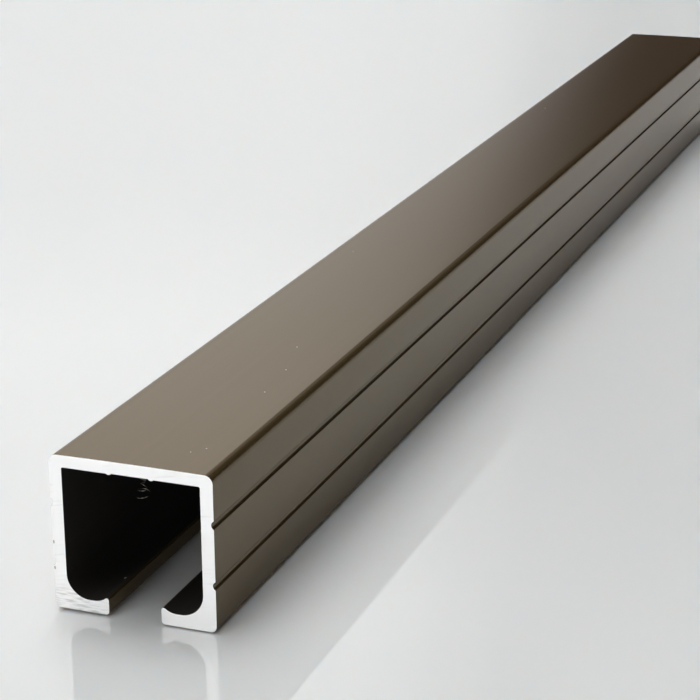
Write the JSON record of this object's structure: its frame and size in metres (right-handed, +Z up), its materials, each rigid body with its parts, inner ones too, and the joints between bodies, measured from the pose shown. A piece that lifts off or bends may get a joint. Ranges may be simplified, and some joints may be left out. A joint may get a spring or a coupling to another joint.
{
  "type": "aluminium extrusion profile",
  "caption": "Length of C-shaped aluminium sliding-door track, slot down, with lips hollowed into roller raceways, grooved outer walls and saw-cut ends, dark bronze anodised.",
  "frame": {"origin": "middle of the length and width, on the plane of the lips' undersides", "axes": "+Y along the extrusion, +X across it, +Z up from the slotted side to the plain top face"},
  "size_m": [0.032, 0.44, 0.03],
  "materials": {
    "bronze_anodised": "dark bronze anodised, satin, with fine lines along the extrusion; bare bright metal on the saw-cut ends"
  },
  "bodies": {
    "root": {"track_profile": "bronze_anodised"}
  },
  "joints": []
}
